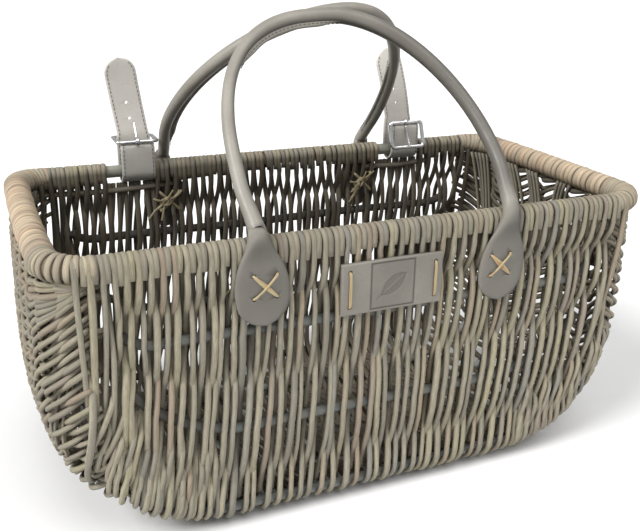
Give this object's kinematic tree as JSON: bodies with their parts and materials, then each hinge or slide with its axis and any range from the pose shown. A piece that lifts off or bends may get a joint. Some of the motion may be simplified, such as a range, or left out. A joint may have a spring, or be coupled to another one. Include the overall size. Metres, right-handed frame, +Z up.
{
  "type": "woven market basket",
  "caption": "Rectangular woven willow basket with rounded lower ends, arched leather carry handles laced to the walls and buckled leather straps round the back rim.",
  "frame": {"origin": "middle of the flat underside that the basket stands on", "axes": "+X along the length, towards the right end seen from the front; +Y from front to back; +Z up"},
  "size_m": [0.459, 0.258, 0.3488],
  "materials": {
    "bare_hoop": "weathered matt bare willow rod",
    "cane_binding": "pale matt split willow binding",
    "woven_willow": "weathered grey-beige willow rods, matt",
    "willow_ribs": "blue-grey weathered willow ribs, matt",
    "handle_leather": "smooth taupe-grey leather, low sheen",
    "strap_leather": "smooth taupe-grey leather with an edge stitch",
    "label_leather": "smooth taupe-grey leather with a pressed mark",
    "rope_core": "twisted paper rope, hidden inside the roll",
    "straw_lacing": "straw-coloured raffia",
    "buckle_metal": "polished nickel plate"
  },
  "bodies": {
    "basket": {"rim_hoop": "bare_hoop", "rim_binding_front": "cane_binding", "rim_binding_back_left": "cane_binding", "rim_binding_back_middle": "cane_binding", "rim_binding_back_right": "cane_binding", "rim_binding_left_end": "cane_binding", "rim_binding_right_end": "cane_binding", "weave_front": "woven_willow", "weave_back": "woven_willow", "weave_floor": "woven_willow", "weave_left_end": "woven_willow", "weave_right_end": "woven_willow", "rib_front_upper": "willow_ribs", "rib_front_middle": "willow_ribs", "rib_front_lower": "willow_ribs", "rib_back_upper": "willow_ribs", "rib_back_middle": "willow_ribs", "rib_back_lower": "willow_ribs", "rib_floor_front": "willow_ribs", "rib_floor_middle": "willow_ribs", "rib_floor_back": "willow_ribs", "front_paddle_left": "handle_leather", "front_paddle_right": "handle_leather", "back_paddle_left": "handle_leather", "back_paddle_right": "handle_leather", "front_lacing_left": "straw_lacing", "front_lacing_right": "straw_lacing", "back_lacing_left": "straw_lacing", "back_lacing_right": "straw_lacing", "label_plate": "label_leather", "label_lacing_left": "straw_lacing", "label_lacing_right": "straw_lacing"},
    "front_handle": {"front_handle_leather": "handle_leather", "front_handle_core": "rope_core"},
    "back_handle": {"back_handle_leather": "handle_leather", "back_handle_core": "rope_core"},
    "left_strap": {"left_strap": "strap_leather", "left_buckle_frame": "buckle_metal"},
    "left_prong": {"left_buckle_prong": "buckle_metal"},
    "right_strap": {"right_strap": "strap_leather", "right_buckle_frame": "buckle_metal"},
    "right_prong": {"right_buckle_prong": "buckle_metal"}
  },
  "joints": [
    {"name": "front_handle_swing", "type": "hinge", "parent": "basket", "child": "front_handle", "pos_m": [0, -0.123, 0.214], "axis": [1, 0, 0], "range_deg": [0, 150]},
    {"name": "back_handle_swing", "type": "hinge", "parent": "basket", "child": "back_handle", "pos_m": [-0.0045, 0.123, 0.214], "axis": [-1, 0, 0], "range_deg": [0, 149]},
    {"name": "left_strap_swing", "type": "hinge", "parent": "basket", "child": "left_strap", "pos_m": [-0.1215, 0.1105, 0.207], "axis": [1, 0, 0], "range_deg": [-95, 90]},
    {"name": "left_prong_lift", "type": "hinge", "parent": "left_strap", "child": "left_prong", "pos_m": [-0.1215, 0.1022, 0.2325], "axis": [1, 0, 0], "range_deg": [0, 130]},
    {"name": "right_strap_swing", "type": "hinge", "parent": "basket", "child": "right_strap", "pos_m": [0.13, 0.1105, 0.207], "axis": [1, 0, 0], "range_deg": [-95, 90]},
    {"name": "right_prong_lift", "type": "hinge", "parent": "right_strap", "child": "right_prong", "pos_m": [0.13, 0.1022, 0.2325], "axis": [-1, 0, 0], "range_deg": [0, 150]}
  ]
}
